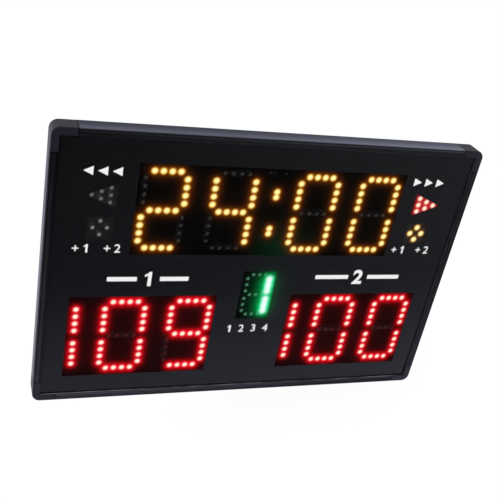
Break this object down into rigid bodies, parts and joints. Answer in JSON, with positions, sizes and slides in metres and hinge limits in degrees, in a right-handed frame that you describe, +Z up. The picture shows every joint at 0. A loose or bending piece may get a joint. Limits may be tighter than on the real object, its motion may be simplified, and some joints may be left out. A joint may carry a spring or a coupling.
{
  "type": "electronic scoreboard",
  "caption": "Flat wall scoreboard with lamp-dot digits behind a clear front sheet, in an aluminium frame with moulded corners.",
  "frame": {"origin": "centre of the back panel's rear face, on the wall plane", "axes": "+X along the width to the right as seen from the front, +Y from the front into the wall, +Z up"},
  "size_m": [0.5326, 0.025, 0.364],
  "materials": {
    "rail": "graphite anodised, satin",
    "corner": "graphite, fine moulded grain",
    "sheet": "clear glossy plastic sheet",
    "print": "charcoal print with clear windows",
    "lamp_board": "black board with clear domed lamps",
    "circuit_board": "green circuit board",
    "panel": "dark powder coat",
    "black_plastic": "black, satin",
    "ribbon": "grey ribbon cable",
    "lead": "black insulated wire"
  },
  "bodies": {
    "board": {"frame_left": "rail", "frame_right": "rail", "frame_top": "rail", "frame_bottom": "rail", "corner_top_left": "corner", "corner_top_right": "corner", "corner_bottom_left": "corner", "corner_bottom_right": "corner", "front_sheet": "sheet", "printed_mask": "print", "clock_board": "lamp_board", "score_board_left": "lamp_board", "score_board_right": "lamp_board", "middle_digit_board": "lamp_board", "indicator_board_left": "lamp_board", "indicator_board_right": "lamp_board", "control_board": "circuit_board", "receiver": "circuit_board", "power_board": "circuit_board", "buzzer": "black_plastic", "back_panel": "panel", "ribbon_clock": "ribbon", "ribbon_middle_digit": "ribbon", "ribbon_score_left": "ribbon", "ribbon_score_right": "ribbon", "ribbon_indicator_left": "ribbon", "ribbon_indicator_right": "ribbon", "lead_inlet_to_switch": "lead", "lead_switch_to_power": "lead", "lead_inlet_to_power": "lead", "lead_power_to_control": "lead", "lead_buzzer": "lead", "switch_housing": "black_plastic", "power_inlet": "black_plastic"},
    "rocker": {"power_rocker": "black_plastic"}
  },
  "joints": [
    {"name": "power_rocker_tilt", "type": "hinge", "parent": "board", "child": "rocker", "pos_m": [0.158, -0.0125, -0.1788], "axis": [0, 1, 0], "range_deg": [-16, 0]}
  ]
}
